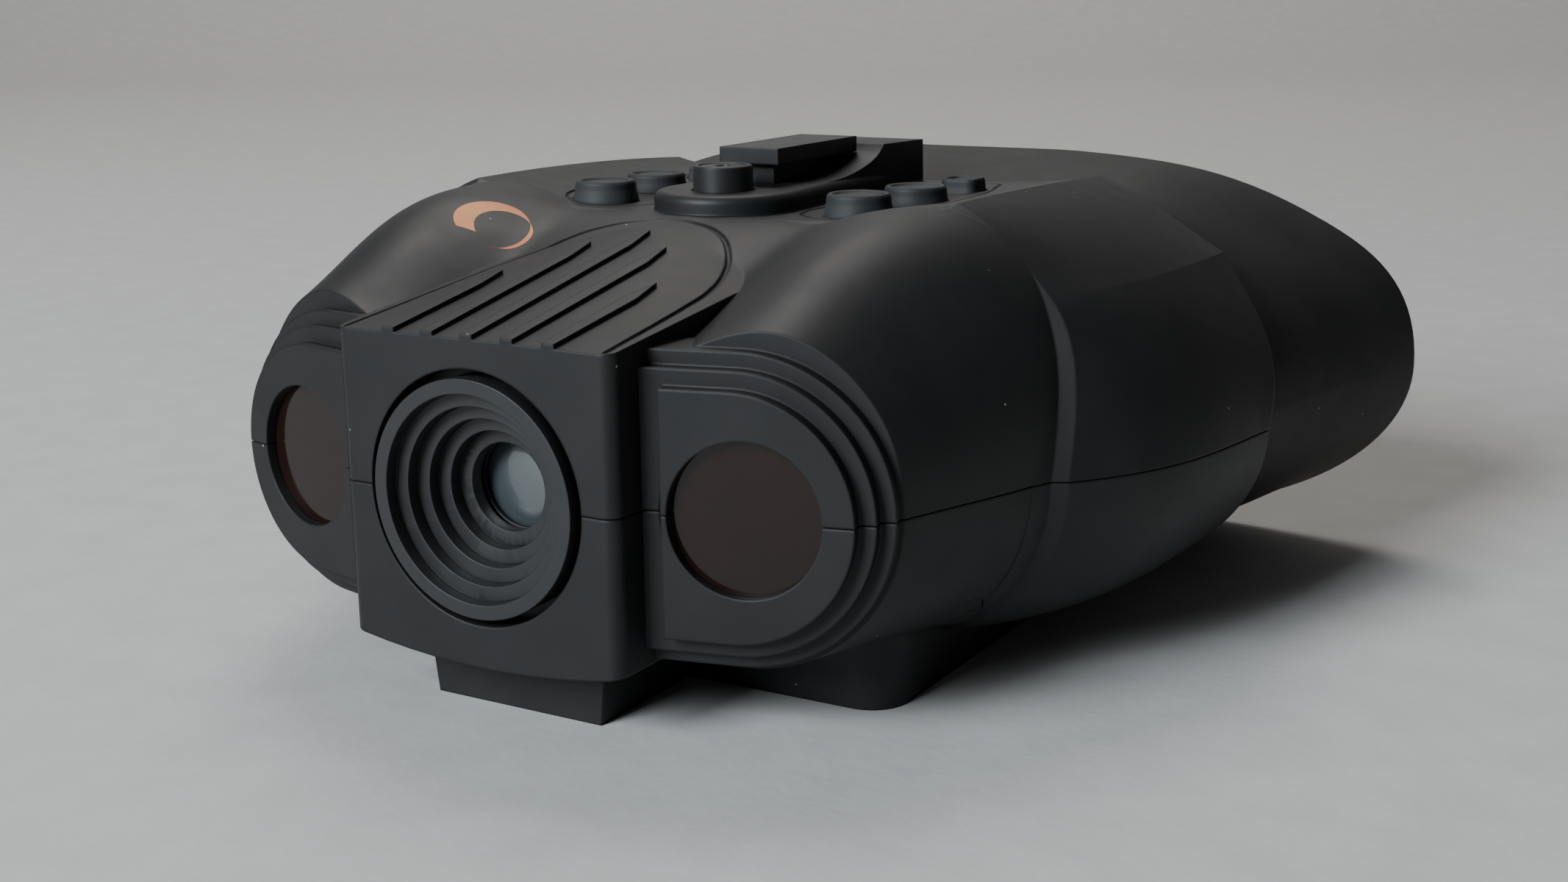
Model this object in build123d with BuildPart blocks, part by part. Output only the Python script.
from build123d import *
from math import atan2, cos, radians, sin, sqrt
import os

os.makedirs("parts", exist_ok=True)

# A digital night-vision binocular: one objective in a square nose, an infrared lamp behind a round
# window on each side, a display with two eyepieces and a flared rubber eye hood.
#
# Frame: the row's origin is the middle of the footprint on the floor, +Z up. The nose faces -Y and
# the user's face is at +Y, so +X is the user's left. Sketches are placed by two more natural
# measures: depth, counted backwards from the nose face, and height, counted up from the objective's
# axis, which is also the height of the seam between the two shells. All sizes are millimetres.

# Driving dimensions --------------------------------------------------------------------------
BORE_Z = 30.7          # height of the objective's axis and of the shells' seam above the floor
HOOD_END = 141.0       # depth of the eye hood's rim
RING_PROUD = 0.8       # how far the focus ring stands ahead of the nose face
NOSE_Y = -(HOOD_END - RING_PROUD) / 2
WALL = 2.2             # shells' wall
SEAM_GAP = 0.16        # fine gap that shows as the seam line
RUN = 0.3              # gap between curved faces that pass each other
EXPORTS = []

NOSE_HALF = 22.0       # half width of the square nose
NOSE_TOP = 20.6        # height of the nose's top edge
BORE_R = 17.0          # opening in the nose
RING_R = 15.8          # focus ring

TOE = 13.3             # the infrared windows look this many degrees outwards
WINDOW_X = 35.9
WINDOW_DEPTH = 7.3
WINDOW_R = 10.0
WINDOW_INSET = 1.5     # the glass is set back from the plate's face
PLATE_R = 16.0         # half height of the D-shaped window plate
PLATE_EDGE = -10.7     # straight inner edge of the plate, from the window's centre
PLATE_ARC = -1.9       # centre of the D's arc, from the window's centre
RIDGE_STEP = 2.0       # each ridge behind the plate is this much bigger and this much further back

DECK = 30.6            # height of the button deck
PAD_TOP = 33.4         # raised pad that carries the power button and the rail
RAIL_TOP = 39.0
BLOCK_TOP = 37.7

RIB_PITCH = 6.4        # five grip ribs run back over the nose
RIB_WIDTH = 1.9
RIB_RISE = 0.6
RIB_ENDS = {0: 41.5, 1: 36.0, 2: 24.0}

BELLY_HALF = 45.0      # battery hump under the body
BELLY_FRONT = 28.4
BELLY_BACK = 80.0
BELLY_MIDDLE = (BELLY_FRONT + BELLY_BACK) / 2
FLOOR = -BORE_Z        # height of the surface it stands on

DOOR_HALF = 36.0       # opening for the battery door
DOOR_FRONT = 35.0
FOOT_DEPTH = 20.0      # middle of the front foot
THREAD_DEPTH = 18.0    # tripod thread, in the foot

LENS_X = 32.0          # half of the distance between the eyes
LENS_HEIGHT = 3.5
LENS_R = 17.0

BUTTONS = {            # name: x, depth, radius, height of its top
    "front_button": (22.4, 62.2, 4.9, 33.8),
    "middle_button": (23.6, 78.0, 4.9, 33.4),
    "rear_button": (23.8, 94.4, 3.6, 33.0),
}
POWER_DEPTH = 61.0
POWER_R = 4.5
BOARD_TOP = 24.0       # top face of the key board
SCREWS = [(50.4, 37.5), (64.0, 73.8)]
RAIL_SCREWS = (75.0, 88.0)
CELL_R = 9.2           # two round lithium cells, 65 long, lie across the battery hump
CELL_HEIGHT = -18.2
CELL_DEPTHS = (45.2, 64.2)
CELL_END = 32.0


# Planes and small helpers ---------------------------------------------------------------------
def facing(depth, height=0.0, x=0.0):
    """A plane that faces forwards: its x is X, its y is height, and it extrudes towards the nose."""
    return Plane(origin=(x, NOSE_Y + depth, BORE_Z + height), x_dir=(1, 0, 0), z_dir=(0, -1, 0))


def leaning(depth, lean):
    """A section plane whose top leans back by lean mm for each mm of height."""
    return Plane(origin=(0, NOSE_Y + depth, BORE_Z), x_dir=(1, 0, 0), z_dir=(0, -1, lean))


def level(height):
    """A level plane: its x is X and its y is the depth behind the nose face."""
    return Plane(origin=(0, NOSE_Y, BORE_Z + height), x_dir=(1, 0, 0), z_dir=(0, 0, 1))


def lengthwise(height=0.0, x=0.0):
    """An upright plane that runs back from the nose: its x is depth and its y is height."""
    return Plane(origin=(x, NOSE_Y, BORE_Z + height), x_dir=(0, 1, 0), z_dir=(1, 0, 0))


def toed(side, setback=0.0):
    """The plane of an infrared window's plate, or one set back behind it."""
    out = radians(TOE)
    plate = Plane(
        origin=(side * WINDOW_X, NOSE_Y + WINDOW_DEPTH, BORE_Z),
        x_dir=(cos(out), side * sin(out), 0),
        z_dir=(side * sin(out), -cos(out), 0),
    )
    return plate.offset(-setback)


def finish(part, label):
    """Label a piece and write it."""
    part.label = label
    export_step(part, f"parts/{label}.step")
    EXPORTS.append(part)


# Sections of the body -------------------------------------------------------------------------
# Upper half: depth, lean, half width, then (x, height) of the shoulder, the crest and the valley
# beside the deck, and the height at the middle.
FRONT_TOP = [
    (6.0, 0.0, 49.5, (45.2, 14.4), (34.0, 20.8), (22.0, 17.0), 12.0),
    (17.0, 0.0, 52.6, (47.4, 16.6), (34.0, 24.0), (22.0, 19.4), 18.0),
    (30.0, 0.0, 57.2, (50.6, 20.4), (34.5, 29.6), (22.0, 24.2), 24.0),
    (43.0, 0.0, 61.2, (54.0, 23.2), (36.5, 33.0), (23.0, 29.4), 29.0),
    (58.0, 0.0, 63.0, (55.6, 24.0), (39.5, 33.4), (25.0, 30.3), DECK - 0.5),
]
# The back body's crest is a crisp ridge, and its shoulder sharpens backwards: the last number of a
# row is how far it has sharpened.
BACK_TOP = [
    (43.2, 0.34, 63.6, (57.2, 22.8), (41.5, 34.0), (26.0, 31.0), DECK, 0.0),
    (55.0, 0.45, 71.2, (62.0, 22.8), (42.0, 34.0), (27.0, 31.0), DECK, 0.1),
    (70.0, 0.62, 75.4, (64.0, 22.8), (42.0, 33.5), (27.0, 31.0), DECK, 0.4),
    (84.3, 0.80, 77.4, (63.8, 22.6), (40.5, 32.5), (26.0, 31.0), DECK, 1.0),
]
# The back body stands out from the front body by a hollow step, drawn in to these sections.
STEP_TOP = [
    (39.0, 0.34, 60.2, (54.0, 21.6), (40.4, 33.0), (25.0, 30.3), 30.0, 0.0),
    (42.1, 0.34, 61.5, (55.2, 22.2), (40.9, 33.4), (25.4, 30.6), 30.3, 0.0),
]
STEP_BASE = [
    (39.0, 60.2, 41.0, 22.3),
    (42.1, 61.5, 42.2, 22.6),
]
# Lower half: depth, half width, x where the rounded side ends, depth of the belly below the seam.
FRONT_BASE = [
    (6.0, 49.5, 33.0, 20.8),
    (17.0, 52.6, 34.0, 21.2),
    (30.0, 57.2, 37.0, 22.0),
    (44.0, 61.4, 41.0, 22.8),
]
BACK_BASE = [
    (43.2, 63.6, 43.0, 23.2),
    (55.0, 71.2, 47.0, 24.2),
    (70.0, 75.4, 48.0, 24.8),
    (84.3, 77.4, 45.0, 25.2),
]


def top_section(depth, lean, half, shoulder, crest, valley, middle, bend=None, inset=0.0):
    """The +X side of a body section's upper half, closed along the seam and the middle plane."""
    stretch = sqrt(1 + lean * lean)
    foot = (half - inset, 0.0)
    shoulder = (shoulder[0] - 0.8 * inset, (shoulder[1] - 0.7 * inset) * stretch)
    crest = (crest[0] - 0.3 * inset, (crest[1] - inset) * stretch)
    valley = (valley[0], (valley[1] - inset) * stretch)
    middle = (0.0, (middle - inset) * stretch)
    with BuildSketch(leaning(depth, lean)) as section:
        with BuildLine():
            if bend is None:
                Spline(foot, shoulder, crest, valley, middle, tangents=[(0, 1), (-1, 0)])
            else:
                Spline(foot, shoulder, tangents=[(0, 1), (-1, 0.95 + 0.45 * bend)])
                Spline(shoulder, crest, tangents=[(-1, 0.95 - 0.4 * bend), (-1, 0.36)])
                Spline(crest, valley, middle, tangents=[(-1, -0.3), (-1, 0)])
            Polyline(middle, (0, 0), foot)
        make_face()
    return section.sketch


def base_section(depth, half, corner, drop, inset=0.0):
    """Lower half of a body section: a flat floor with elliptical sides, closed along the seam."""
    across = half - corner - inset
    down = drop - inset
    with BuildSketch(facing(depth)) as section:
        with BuildLine():
            EllipticalCenterArc((corner, 0), across, down, start_angle=-90, arc_size=90)
            EllipticalCenterArc((-corner, 0), across, down, start_angle=180, arc_size=90)
            Line((-corner, -down), (corner, -down))
            Line((half - inset, 0), (inset - half, 0))
        make_face()
    return section.sketch


def loft_top(sections, inset=0.0, overrun=0.0):
    """Loft upper sections, with the last one carried further back by overrun."""
    faces = [top_section(*row, inset=inset) for row in sections[:-1]]
    depth, *rest = sections[-1]
    faces.append(top_section(depth + overrun, *rest, inset=inset))
    with BuildPart() as body:
        loft(sections=faces)
        mirror(about=Plane.YZ)
    return body.part


def loft_base(sections, inset=0.0, overrun=0.0):
    """Loft lower sections, with the last one carried further back by overrun."""
    faces = [base_section(*row, inset=inset) for row in sections[:-1]]
    depth, *rest = sections[-1]
    faces.append(base_section(depth + overrun, *rest, inset=inset))
    with BuildPart() as body:
        loft(sections=faces)
    return body.part


def step_bevel():
    """The hollow bevel where the back body steps out from the front body, all round."""
    with BuildPart() as bevel:
        loft(sections=[top_section(*row) for row in STEP_TOP + BACK_TOP[:1]], ruled=True)
        mirror(about=Plane.YZ)
        loft(sections=[base_section(*row) for row in STEP_BASE + BACK_BASE[:1]], ruled=True)
    return bevel.part


def ahead_of_plates(setback):
    """Everything ahead of the two window plates' planes, set back by setback."""
    with BuildPart() as block:
        for side in (-1, 1):
            with BuildSketch(toed(side, setback)):
                with Locations((side * 15, 0)):
                    Rectangle(60, 90)
            extrude(amount=40)
    return block.part


def window_steps():
    """The two D-shaped window plates and the two ridges stepped behind each of them."""
    with BuildPart() as steps:
        for side in (-1, 1):
            for ridge in range(3):
                radius = PLATE_R + RIDGE_STEP * ridge + (0.2 if ridge else 0.0)
                edge = PLATE_EDGE if ridge == 0 else -14.6
                with BuildSketch(toed(side, RIDGE_STEP * ridge)):
                    with BuildLine():
                        Line((side * PLATE_ARC, -radius), (side * edge, -radius))
                        Line((side * edge, -radius), (side * edge, radius))
                        Line((side * edge, radius), (side * PLATE_ARC, radius))
                        ThreePointArc(
                            (side * PLATE_ARC, radius),
                            (side * (PLATE_ARC + radius), 0),
                            (side * PLATE_ARC, -radius),
                        )
                    make_face()
                extrude(amount=-(12 - RIDGE_STEP * ridge))
    return steps.part


def nose_block(inset=0.0, front=0.0):
    """The square nose: its top rises and crowns backwards, its underside bulges down."""
    half = NOSE_HALF - inset
    back = 50.0
    with BuildPart() as nose:
        front_edge = NOSE_TOP + 0.116 * front
        front_crown = 0.2 + 0.09 * front
        for depth, edge, crown in ((front, front_edge, front_crown), (back, 26.4, 4.3)):
            with BuildSketch(facing(depth)):
                with BuildLine():
                    Polyline((half, edge - inset), (half, 0), (-half, 0), (-half, edge - inset))
                    ThreePointArc((-half, edge - inset), (0, edge + crown - inset), (half, edge - inset))
                make_face()
        loft()
        with BuildSketch(facing(front)):
            with BuildLine():
                Polyline((-half, inset - 20.7), (-half, 0), (half, 0), (half, inset - 20.7))
                ThreePointArc((half, inset - 20.7), (0, inset - 22.8), (-half, inset - 20.7))
            make_face()
        extrude(amount=-(36.0 - front))
        if inset == 0.0:
            corners = nose.edges().filter_by(Axis.Z).group_by(Axis.Y)[0]
            fillet(corners, 2.0)
    return nose.part


def grip_ribs():
    """Five raised ribs on the nose's top, each tapered to a point at its back end."""
    with BuildPart() as ribs:
        add(nose_block(-RIB_RISE))
        with BuildSketch(level(0)):
            for number in range(-2, 3):
                end = RIB_ENDS[abs(number)]
                middle = number * RIB_PITCH
                half = RIB_WIDTH / 2
                with BuildLine():
                    Polyline(
                        (middle - half, 0), (middle + half, 0), (middle + half, end - 6),
                        (middle, end), (middle - half, end - 6), close=True,
                    )
                make_face()
        extrude(amount=50, mode=Mode.INTERSECT)
    return ribs.part


def pad():
    """The round-edged pad under the power button, which runs back as a ridge."""
    with BuildPart() as block:
        with BuildSketch(level(DECK - 1.0)):
            with BuildLine():
                Polyline((11.2, 62.5), (9.4, 97), (-9.4, 97), (-11.2, 62.5))
                ThreePointArc((-11.2, 62.5), (0, 51.3), (11.2, 62.5))
            make_face()
        extrude(amount=PAD_TOP - DECK + 1.0)
        fillet(block.faces().sort_by(Axis.Z)[-1].edges(), 1.3)
    return block.part


def screw_posts(radius, bottom, top):
    """Upright posts on the four housing screws' axes."""
    with BuildPart() as posts:
        with BuildSketch(level(bottom)):
            for x, depth in SCREWS:
                with Locations((x, depth), (-x, depth)):
                    Circle(radius)
        extrude(amount=top - bottom)
    return posts.part


def bore(radius, start, end):
    """A round cutter on the objective's axis, from one depth to another."""
    with BuildPart() as cutter:
        with BuildSketch(facing(end)):
            Circle(radius)
        extrude(amount=end - start)
    return cutter.part


def window_bores():
    """The round windows' openings and, behind each, the pocket that its glass sits in."""
    with BuildPart() as cutter:
        for side in (-1, 1):
            with BuildSketch(toed(side, 5.0)):
                Circle(WINDOW_R)
            extrude(amount=8)
            with BuildSketch(toed(side, WINDOW_INSET)):
                Circle(WINDOW_R + 1.6)
            extrude(amount=WINDOW_INSET - 10.5)
    return cutter.part


# Upper shell ----------------------------------------------------------------------------------
bevel = step_bevel()

with BuildPart() as hollow_top:
    add(loft_top(FRONT_TOP, WALL))
    add(ahead_of_plates(8.2), mode=Mode.SUBTRACT)
    add(loft_top(BACK_TOP, WALL, overrun=3.0))
    add(nose_block(WALL, front=3.0))
    # a bulkhead across the nose carries the lens mount
    with BuildSketch(facing(18.0)):
        Rectangle(2 * NOSE_HALF, 60)
    extrude(amount=3.0, mode=Mode.SUBTRACT)
    add(screw_posts(4.0, -1.0, 45.0), mode=Mode.SUBTRACT)

with BuildPart() as upper_shell:
    add(loft_top(FRONT_TOP))
    add(ahead_of_plates(6.0), mode=Mode.SUBTRACT)
    add(loft_top(BACK_TOP))
    add(bevel)
    add(window_steps())
    add(nose_block())
    add(grip_ribs())
    add(pad())
    # ramp that sweeps up from the ridge to the block behind the rail
    with BuildSketch(lengthwise()):
        with BuildLine():
            Spline((76, PAD_TOP), (88, 34.6), (95, BLOCK_TOP), tangents=[(1, 0), (1, 1)])
            Polyline((95, BLOCK_TOP), (108.8, BLOCK_TOP - 0.3), (109, 29.4), (76, 29.4), (76, PAD_TOP))
        make_face()
    extrude(amount=9.4, both=True)
    add(hollow_top.part, mode=Mode.SUBTRACT)
    add(bore(BORE_R, -2.0, 4.0), mode=Mode.SUBTRACT)
    add(bore(15.4, 10.0, 20.0), mode=Mode.SUBTRACT)
    add(window_bores(), mode=Mode.SUBTRACT)
    # holes for the buttons
    with BuildSketch(level(DECK - 6)):
        for x, depth, radius, _ in BUTTONS.values():
            with Locations((x, depth), (-x, depth)):
                Circle(radius + RUN)
        with Locations((0, POWER_DEPTH)):
            Circle(POWER_R + RUN)
    extrude(amount=12, mode=Mode.SUBTRACT)
    # holes for the rail's two screws
    with BuildSketch(level(DECK - 6)):
        with Locations(*[(0, depth) for depth in RAIL_SCREWS]):
            Circle(1.35)
    extrude(amount=12, mode=Mode.SUBTRACT)
    # pilot holes for the housing screws, and the flat seam
    add(screw_posts(1.3, -2.0, 9.5), mode=Mode.SUBTRACT)
    split(bisect_by=level(SEAM_GAP / 2), keep=Keep.TOP)
finish(upper_shell.part, "upper_shell")

# Lower shell ----------------------------------------------------------------------------------
with BuildPart() as hollow_base:
    add(loft_base(FRONT_BASE, WALL))
    add(ahead_of_plates(8.2), mode=Mode.SUBTRACT)
    add(loft_base(BACK_BASE, WALL, overrun=3.0))
    add(nose_block(WALL, front=3.0))
    with BuildSketch(facing(18.0)):
        Rectangle(2 * NOSE_HALF, 60)
    extrude(amount=3.0, mode=Mode.SUBTRACT)
    # battery bay
    with BuildSketch(level(-15)):
        with Locations((0, BELLY_MIDDLE)):
            Rectangle(2 * (BELLY_HALF - 2.4), BELLY_BACK - BELLY_FRONT - 5)
    extrude(amount=FLOOR + 3.2 + 15)
    add(screw_posts(4.6, -45.0, 1.0), mode=Mode.SUBTRACT)

with BuildPart() as lower_shell:
    add(loft_base(FRONT_BASE))
    add(ahead_of_plates(6.0), mode=Mode.SUBTRACT)
    add(loft_base(BACK_BASE))
    add(bevel)
    add(window_steps())
    add(nose_block())
    # front foot with the tripod thread
    with BuildSketch(level(-20)):
        with Locations((0, FOOT_DEPTH)):
            Rectangle(29.6, 26)
    with BuildSketch(level(FLOOR)):
        with Locations((0, FOOT_DEPTH)):
            Rectangle(27.2, 25.6)
    loft()
    # battery hump, drafted towards the floor
    with BuildSketch(level(-18)):
        with Locations((0, BELLY_MIDDLE)):
            RectangleRounded(2 * BELLY_HALF + 1.6, BELLY_BACK - BELLY_FRONT + 3, 7)
    with BuildSketch(level(FLOOR)):
        with Locations((0, BELLY_MIDDLE)):
            RectangleRounded(2 * BELLY_HALF, BELLY_BACK - BELLY_FRONT, 5.5)
    loft()
    split(bisect_by=level(-SEAM_GAP / 2), keep=Keep.BOTTOM)
    lower_outer = lower_shell.part
    add(hollow_base.part, mode=Mode.SUBTRACT)
    add(bore(BORE_R, -2.0, 4.0), mode=Mode.SUBTRACT)
    add(bore(15.4, 10.0, 20.0), mode=Mode.SUBTRACT)
    add(window_bores(), mode=Mode.SUBTRACT)
    # opening for the battery door, open at the back, with a groove along each side
    with BuildSketch(level(FLOOR - 1)):
        with Locations((0, DOOR_FRONT + 30)):
            Rectangle(2 * DOOR_HALF, 60)
    extrude(amount=4.6, mode=Mode.SUBTRACT)
    with BuildSketch(level(FLOOR + 0.7)):
        with Locations((0, DOOR_FRONT + 30)):
            Rectangle(2 * DOOR_HALF + 3.8, 60)
    extrude(amount=1.6, mode=Mode.SUBTRACT)
    # seat for the tripod insert
    with BuildSketch(level(FLOOR - 1)):
        with Locations((0, THREAD_DEPTH)):
            Circle(4.6)
    extrude(amount=9.5, mode=Mode.SUBTRACT)
    # counterbores and clearance holes for the housing screws
    add(screw_posts(3.4, -45.0, -9.0), mode=Mode.SUBTRACT)
    add(screw_posts(1.45, -12.0, 2.0), mode=Mode.SUBTRACT)
finish(lower_shell.part, "lower_shell")

# Objective and focus ring -----------------------------------------------------------------------
BORE_AXIS = Axis((0, NOSE_Y, BORE_Z), (0, 1, 0))
MOUNT_R = 12.9
BARREL_R = 8.4
RING_RIM = 1.8         # width of the ring's front face
RING_STEP = 2.0        # width and depth of each step inside it
RING_BACK = 9.4


def turned(points):
    """A piece turned about the objective's axis from a closed outline of (depth, radius) points."""
    with BuildPart() as piece:
        with BuildSketch(lengthwise()):
            with BuildLine():
                Polyline(*points, close=True)
            make_face()
        revolve(axis=BORE_AXIS)
    return piece.part


# five flat steps lead in to the lens, then a sleeve turns on the lens mount
funnel = [(-RING_PROUD, RING_R)]
for step in range(5):
    face = RING_STEP * step - RING_PROUD
    radius = RING_R - RING_RIM - RING_STEP * step
    wall_end = face + RING_STEP if step < 4 else RING_BACK
    funnel += [(face, radius), (wall_end, radius)]
funnel += [(RING_BACK, MOUNT_R + 0.05), (17.2, MOUNT_R + 0.05), (17.2, 15.0)]
funnel += [(6.4, 15.0), (6.4, 17.8), (4.6, 17.8), (4.6, RING_R)]
focus_ring = turned(funnel)
finish(focus_ring, "focus_ring")

with BuildPart() as lens_mount:
    with BuildSketch(lengthwise()):
        with BuildLine():
            Polyline(
                (10, BARREL_R + 0.05), (10, MOUNT_R), (18, MOUNT_R), (18, 18), (20.5, 18),
                (20.5, MOUNT_R), (22, MOUNT_R), (22, BARREL_R + 0.05), close=True,
            )
        make_face()
    revolve(axis=BORE_AXIS)
    # posts for the sensor board
    with BuildSketch(facing(26.6)):
        with GridLocations(21, 21, 2, 2):
            Circle(1.6)
    extrude(amount=6.1)
finish(lens_mount.part, "lens_mount")

lens_barrel = turned([(9.8, 6.82), (9.8, BARREL_R), (22.4, BARREL_R), (22.4, 6.82)])
finish(lens_barrel, "lens_barrel")
lens_ring = turned([(9.9, 6.1), (9.9, 6.8), (10.9, 6.8), (10.9, 6.1)])
finish(lens_ring, "lens_retaining_ring")


def halfway(radius, sag):
    """Half way along a spherical face: how far it falls back from its crown, and its radius there."""
    sphere = (radius * radius + sag * sag) / (2 * sag)
    angle = atan2(radius, sphere - sag) / 2
    return sphere * (1 - cos(angle)), sphere * sin(angle)


def lens(radius, front, front_sag, edge, back_sag, x=0.0, height=0.0):
    """A lens: its rim starts at depth front and is edge thick, and each face bulges by its sag."""
    fall, out = halfway(radius, front_sag)
    rise, wide = halfway(radius, back_sag)
    back = front + edge
    with BuildPart() as glass:
        with BuildSketch(lengthwise(height, x)):
            with BuildLine():
                Line((front - front_sag, 0), (back + back_sag, 0))
                ThreePointArc((front - front_sag, 0), (front - front_sag + fall, out), (front, radius))
                Line((front, radius), (back, radius))
                ThreePointArc((back, radius), (back + back_sag - rise, wide), (back + back_sag, 0))
            make_face()
        revolve(axis=Axis((x, NOSE_Y, BORE_Z + height), (0, 1, 0)))
    return glass.part


finish(lens(6.75, 11.3, 1.2, 1.4, 0.8), "objective_lens")
finish(lens(6.75, 18.0, 0.6, 1.4, 0.9), "rear_lens")

with BuildPart() as sensor_board:
    with BuildSketch(facing(28.2)):
        RectangleRounded(26, 26, 2)
    extrude(amount=1.6)
finish(sensor_board.part, "sensor_board")
with BuildPart() as image_sensor:
    with BuildSketch(facing(26.6)):
        RectangleRounded(9, 7, 0.4)
    extrude(amount=0.9)
finish(image_sensor.part, "image_sensor")

# Infrared lamps ---------------------------------------------------------------------------------
for side, hand in ((1, "left"), (-1, "right")):
    with BuildPart() as window:
        with BuildSketch(toed(side, WINDOW_INSET + 2.0)):
            Circle(WINDOW_R + 1.5)
        extrude(amount=2.0)
        chamfer(window.edges().filter_by(GeomType.CIRCLE), 0.2)
    finish(window.part, f"ir_window_{hand}")

    with BuildPart() as reflector:
        for setback, radius in ((WINDOW_INSET + 2.0, WINDOW_R + 1.4), (16.0, 6.0)):
            with BuildSketch(toed(side, setback)):
                Circle(radius)
        loft()
        for setback, radius in ((WINDOW_INSET + 2.0, WINDOW_R + 0.4), (16.0, 3.6)):
            with BuildSketch(toed(side, setback)):
                Circle(radius)
        loft(mode=Mode.SUBTRACT)
    finish(reflector.part, f"ir_reflector_{hand}")

    with BuildPart() as lamp_board:
        with BuildSketch(toed(side, 17.6)):
            Circle(8.0)
        extrude(amount=1.6)
    finish(lamp_board.part, f"ir_lamp_board_{hand}")

    with BuildPart() as emitter:
        with BuildSketch(toed(side, 16.0)):
            Circle(2.5)
        extrude(amount=3.4)
        fillet(emitter.edges().filter_by(GeomType.CIRCLE).sort_by(Axis.Y)[0], 2.2)
    finish(emitter.part, f"ir_emitter_{hand}")

# Buttons, key board and switches ----------------------------------------------------------------
FLANGE_TOP = 27.6
FLANGE_BASE = 26.9


def button(x, depth, radius, top, flange, square=False):
    """A rubber button: a flange under the deck and a cap with a raised rim round a dished top."""
    with BuildPart() as cap:
        with BuildSketch(level(FLANGE_BASE)):
            with Locations((x, depth)):
                Circle(flange)
        extrude(amount=FLANGE_TOP - FLANGE_BASE)
        with BuildSketch(level(FLANGE_TOP)):
            with Locations((x, depth)):
                if square:
                    RectangleRounded(1.72 * radius, 1.72 * radius, 0.56 * radius)
                else:
                    Circle(radius)
        extrude(amount=top - FLANGE_TOP)
        with BuildSketch(level(top)):
            with Locations((x, depth)):
                Circle(0.78 * radius)
        extrude(amount=-0.4, mode=Mode.SUBTRACT)
    return cap.part


for place, (x, depth, radius, top) in BUTTONS.items():
    for side, hand in ((1, "left"), (-1, "right")):
        key = button(side * x, depth, radius, top, radius + 1.2, square=place == "rear_button")
        finish(key, f"{place}_{hand}")

with BuildPart() as power_button:
    add(button(0, POWER_DEPTH, POWER_R, 37.1, POWER_R + 1.3))
finish(power_button.part, "power_button")

with BuildPart() as key_board:
    with BuildSketch(level(BOARD_TOP)):
        with Locations((0, 77.5)):
            RectangleRounded(62, 43, 3)
    extrude(amount=-1.6)
finish(key_board.part, "key_board")

with BuildPart() as switches:
    spots = [(0, POWER_DEPTH)]
    for x, depth, _, _ in BUTTONS.values():
        spots += [(x, depth), (-x, depth)]
    with BuildSketch(level(BOARD_TOP)):
        with Locations(*spots):
            Rectangle(4.5, 4.5)
    extrude(amount=1.9)
    with BuildSketch(level(BOARD_TOP + 1.9)):
        with Locations(*spots):
            Circle(1.2)
    extrude(amount=0.2)
finish(switches.part, "tact_switches")

# Accessory rail ---------------------------------------------------------------------------------
with BuildPart() as rail:
    with BuildSketch(level(RAIL_TOP)):
        with Locations((0, 80.85)):
            Rectangle(10.4, 24.9)
    extrude(amount=-2.45)
    with BuildSketch(level(RAIL_TOP - 2.45)):
        with Locations((0, 81.5)):
            Rectangle(6.4, 22.0)
    extrude(amount=PAD_TOP - RAIL_TOP + 2.45)
    add(upper_shell.part, mode=Mode.SUBTRACT)
    with BuildSketch(level(PAD_TOP - 1)):
        with Locations(*[(0, depth) for depth in RAIL_SCREWS]):
            Circle(1.35)
    extrude(amount=4.4, mode=Mode.SUBTRACT)
finish(rail.part, "accessory_rail")

with BuildPart() as rail_screws:
    with BuildSketch(level(26.4)):
        with Locations(*[(0, depth) for depth in RAIL_SCREWS]):
            Circle(2.4)
    extrude(amount=1.5)
    with BuildSketch(level(27.9)):
        with Locations(*[(0, depth) for depth in RAIL_SCREWS]):
            Circle(1.25)
    extrude(amount=7.6)
finish(rail_screws.part, "rail_screws")

# Boards, display and eyepieces ------------------------------------------------------------------
with BuildPart() as main_board:
    with BuildSketch(level(-5.6)):
        with Locations((0, 39.4)):
            RectangleRounded(84, 19.6, 1.5)
    extrude(amount=-1.6)
finish(main_board.part, "main_board")

DISPLAY_HEIGHT = 7.3
with BuildPart() as display:
    with BuildSketch(facing(52.4, DISPLAY_HEIGHT)):
        Rectangle(50, 26)
    extrude(amount=2.4)
finish(display.part, "display_panel")

with BuildPart() as bracket:
    with BuildSketch(facing(54.0, DISPLAY_HEIGHT)):
        Rectangle(60, 29.2)
    extrude(amount=4.2)
    with BuildSketch(facing(52.4, DISPLAY_HEIGHT)):
        Rectangle(50.2, 26.2)
    extrude(amount=4.0, mode=Mode.SUBTRACT)
    with BuildSketch(facing(55.0, DISPLAY_HEIGHT)):
        Rectangle(46, 23)
    extrude(amount=4.0, mode=Mode.SUBTRACT)
finish(bracket.part, "display_bracket")

with BuildPart() as shroud:
    for wall, mode in ((0.0, Mode.ADD), (3.0, Mode.SUBTRACT)):
        for depth, width in ((54.0, 60.0), (76.0, 108.0)):
            with BuildSketch(facing(depth, DISPLAY_HEIGHT)):
                Rectangle(width - wall, 29.2 - wall)
        loft(mode=mode)
finish(shroud.part, "light_shroud")

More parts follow.
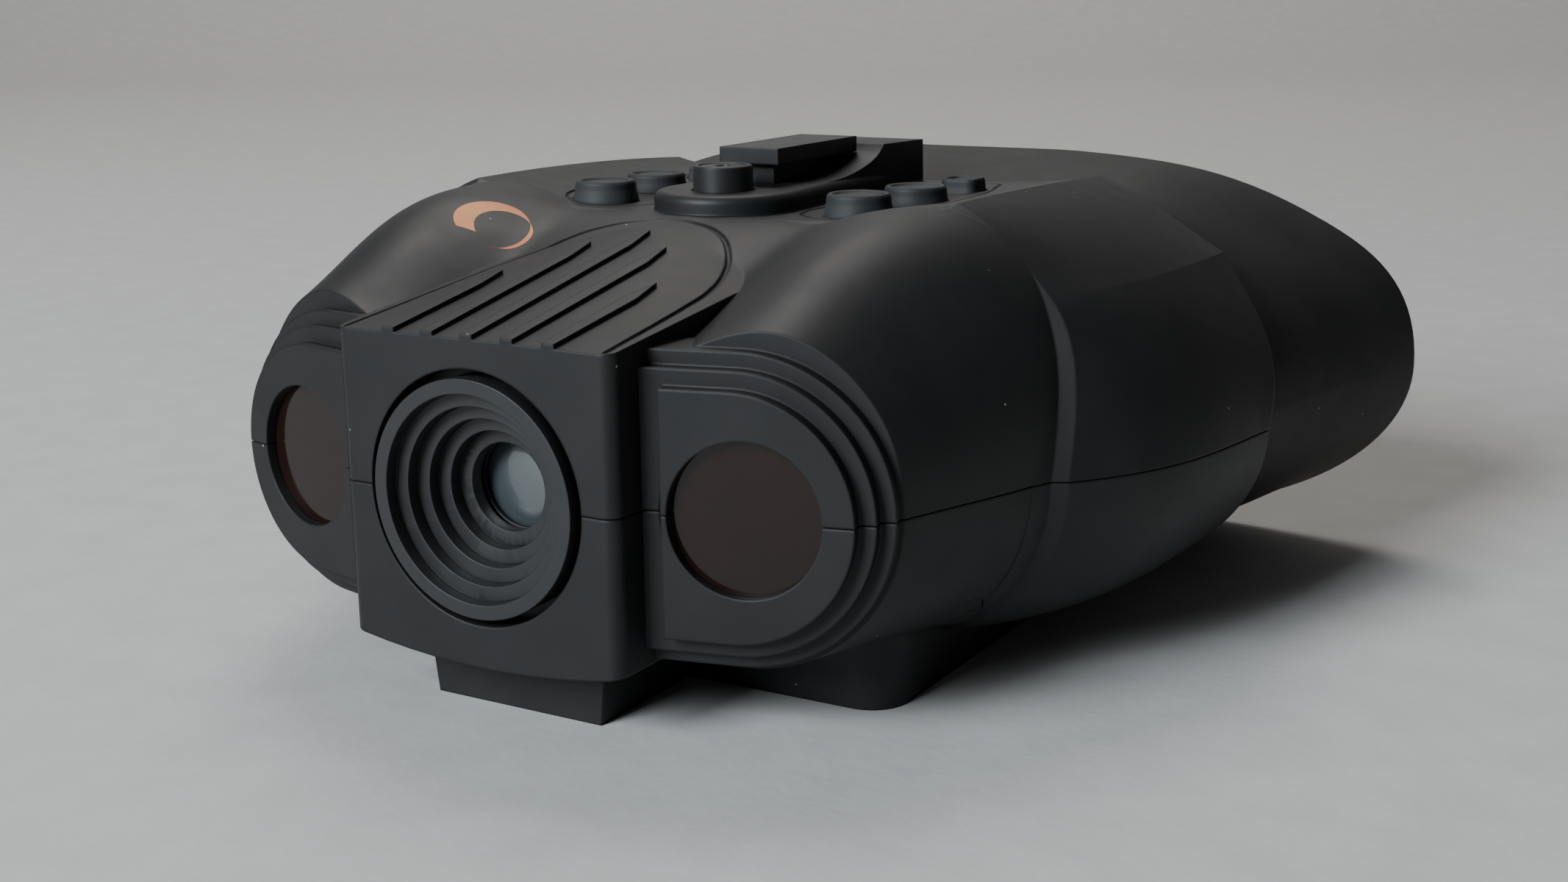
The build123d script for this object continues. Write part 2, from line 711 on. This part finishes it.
with BuildPart() as eyepiece_frame:
    with BuildSketch(facing(79.0, 0.3)):
        RectangleRounded(116, 43.8, 18)
    extrude(amount=3.0)
    for side in (-1, 1):
        with BuildSketch(facing(86.0, LENS_HEIGHT, side * LENS_X)):
            Circle(LENS_R + 1.8)
        extrude(amount=7.0)
        with BuildSketch(facing(87.0, LENS_HEIGHT, side * LENS_X)):
            Circle(LENS_R + 0.05)
        extrude(amount=12.0, mode=Mode.SUBTRACT)
finish(eyepiece_frame.part, "eyepiece_frame")
for side, hand in ((1, "left"), (-1, "right")):
    finish(lens(LENS_R, 77.5, 1.3, 2.4, 3.6, side * LENS_X, LENS_HEIGHT), f"eyepiece_lens_{hand}")

# Eye hood ---------------------------------------------------------------------------------------
HOOD_WALL = 2.4
HOOD_TOP = [
    (79.0, 0.78, 72.4, (59.4, 19.0), (39.0, 28.2), (26.0, 27.2), 26.9),
    (84.3, 0.80, 73.2, (59.8, 19.2), (39.2, 28.3), (26.0, 27.3), 27.0),
    (100.0, 0.56, 75.0, (61.6, 20.6), (40.0, 29.6), (26.0, 29.2), 28.9),
    (120.0, 0.28, 78.8, (64.8, 22.2), (41.6, 31.2), (26.0, 31.5), 31.4),
    (HOOD_END, 0.0, 84.6, (68.4, 23.2), (45.0, 31.3), (26.0, 33.2), 33.4),
]
HOOD_BASE = [
    (79.0, 72.4, 38.0, 21.6),
    (84.3, 73.2, 38.0, 21.9),
    (100.0, 75.0, 40.0, 24.6),
    (120.0, 78.8, 38.0, 27.6),
    (HOOD_END, 84.6, 30.0, 30.2),
]
with BuildPart() as eye_hood:
    add(loft_top(HOOD_TOP))
    add(loft_base(HOOD_BASE))
    add(loft_top(HOOD_TOP, HOOD_WALL), mode=Mode.SUBTRACT)
    add(loft_base(HOOD_BASE, HOOD_WALL), mode=Mode.SUBTRACT)
    # cut-out for the bridge of the nose
    with BuildSketch(level(-36)):
        with BuildLine():
            Spline(
                (-27, HOOD_END + 1), (-14, HOOD_END - 13), (0, HOOD_END - 20),
                (14, HOOD_END - 13), (27, HOOD_END + 1),
            )
            Line((27, HOOD_END + 1), (-27, HOOD_END + 1))
        make_face()
    extrude(amount=28, mode=Mode.SUBTRACT)
finish(eye_hood.part, "eye_hood")

# Batteries and their door -----------------------------------------------------------------------
def across(depth, x=0.0, end=1):
    """A plane across the hump at a cell's axis: its x is depth, and it extrudes sideways."""
    return Plane(
        origin=(x, NOSE_Y + depth, BORE_Z + CELL_HEIGHT),
        x_dir=(0, 1, 0),
        z_dir=(end, 0, 0),
    )


with BuildPart() as tray:
    with BuildSketch(level(-7.6)):
        with Locations((0, 54.7)):
            Rectangle(74, 41.4)
    extrude(amount=FLOOR + 3.3 + 7.6)
    for depth in CELL_DEPTHS:
        with BuildSketch(across(depth)):
            Circle(CELL_R + 0.15)
            with Locations((0, -10)):
                Rectangle(2 * CELL_R + 0.3, 20)
        extrude(amount=36, both=True, mode=Mode.SUBTRACT)
finish(tray.part, "battery_tray")

for depth, place in zip(CELL_DEPTHS, ("front", "rear")):
    with BuildPart() as cell:
        with BuildSketch(across(depth, CELL_END)):
            Circle(CELL_R)
        extrude(amount=-2 * CELL_END)
        with BuildSketch(across(depth, CELL_END)):
            Circle(3.0)
        extrude(amount=1.0)
    finish(cell.part, f"battery_{place}")

with BuildPart() as contacts:
    for depth in CELL_DEPTHS:
        for end, start, reach in ((1, 33.0, 3.0), (-1, 32.0, 4.0)):
            spot = across(depth, end * start, end)
            with BuildSketch(spot):
                Circle(2.5)
            with BuildSketch(spot.offset(reach)):
                Circle(4.5)
            loft()
finish(contacts.part, "battery_contacts")

with BuildPart() as door:
    door_length = BELLY_BACK - DOOR_FRONT - 0.3
    with BuildSketch(level(FLOOR)):
        with Locations((0, BELLY_BACK - door_length / 2)):
            Rectangle(2 * DOOR_HALF - 0.5, door_length)
    extrude(amount=2.9)
    with BuildSketch(level(FLOOR + 0.9)):
        with Locations((0, BELLY_BACK - door_length / 2)):
            Rectangle(2 * DOOR_HALF + 3.2, door_length)
    extrude(amount=1.2)
    # grip grooves across the door's back end
    with BuildSketch(level(FLOOR)):
        with Locations((0, BELLY_BACK - 10)):
            with GridLocations(0, 2.4, 1, 5):
                SlotOverall(28, 1.2)
    extrude(amount=0.6, mode=Mode.SUBTRACT)
finish(door.part, "battery_door")

# Tripod insert, screws and plugs ----------------------------------------------------------------
with BuildPart() as insert:
    with BuildSketch(level(FLOOR)):
        with Locations((0, THREAD_DEPTH)):
            Circle(4.55)
            Circle(2.55, mode=Mode.SUBTRACT)
    extrude(amount=8.5)
finish(insert.part, "tripod_insert")

with BuildPart() as housing_screws:
    add(screw_posts(2.4, -10.8, -9.0))
    add(screw_posts(1.2, -9.0, 8.5))
finish(housing_screws.part, "housing_screws")

with BuildPart() as plugs:
    add(screw_posts(3.3, -45.0, -13.0))
    add(lower_outer, mode=Mode.INTERSECT)
finish(plugs.part, "screw_plugs")

for part in EXPORTS:
    print(f"{part.label}: {len(part.solids())} solid(s), {part.volume:.0f} mm3")
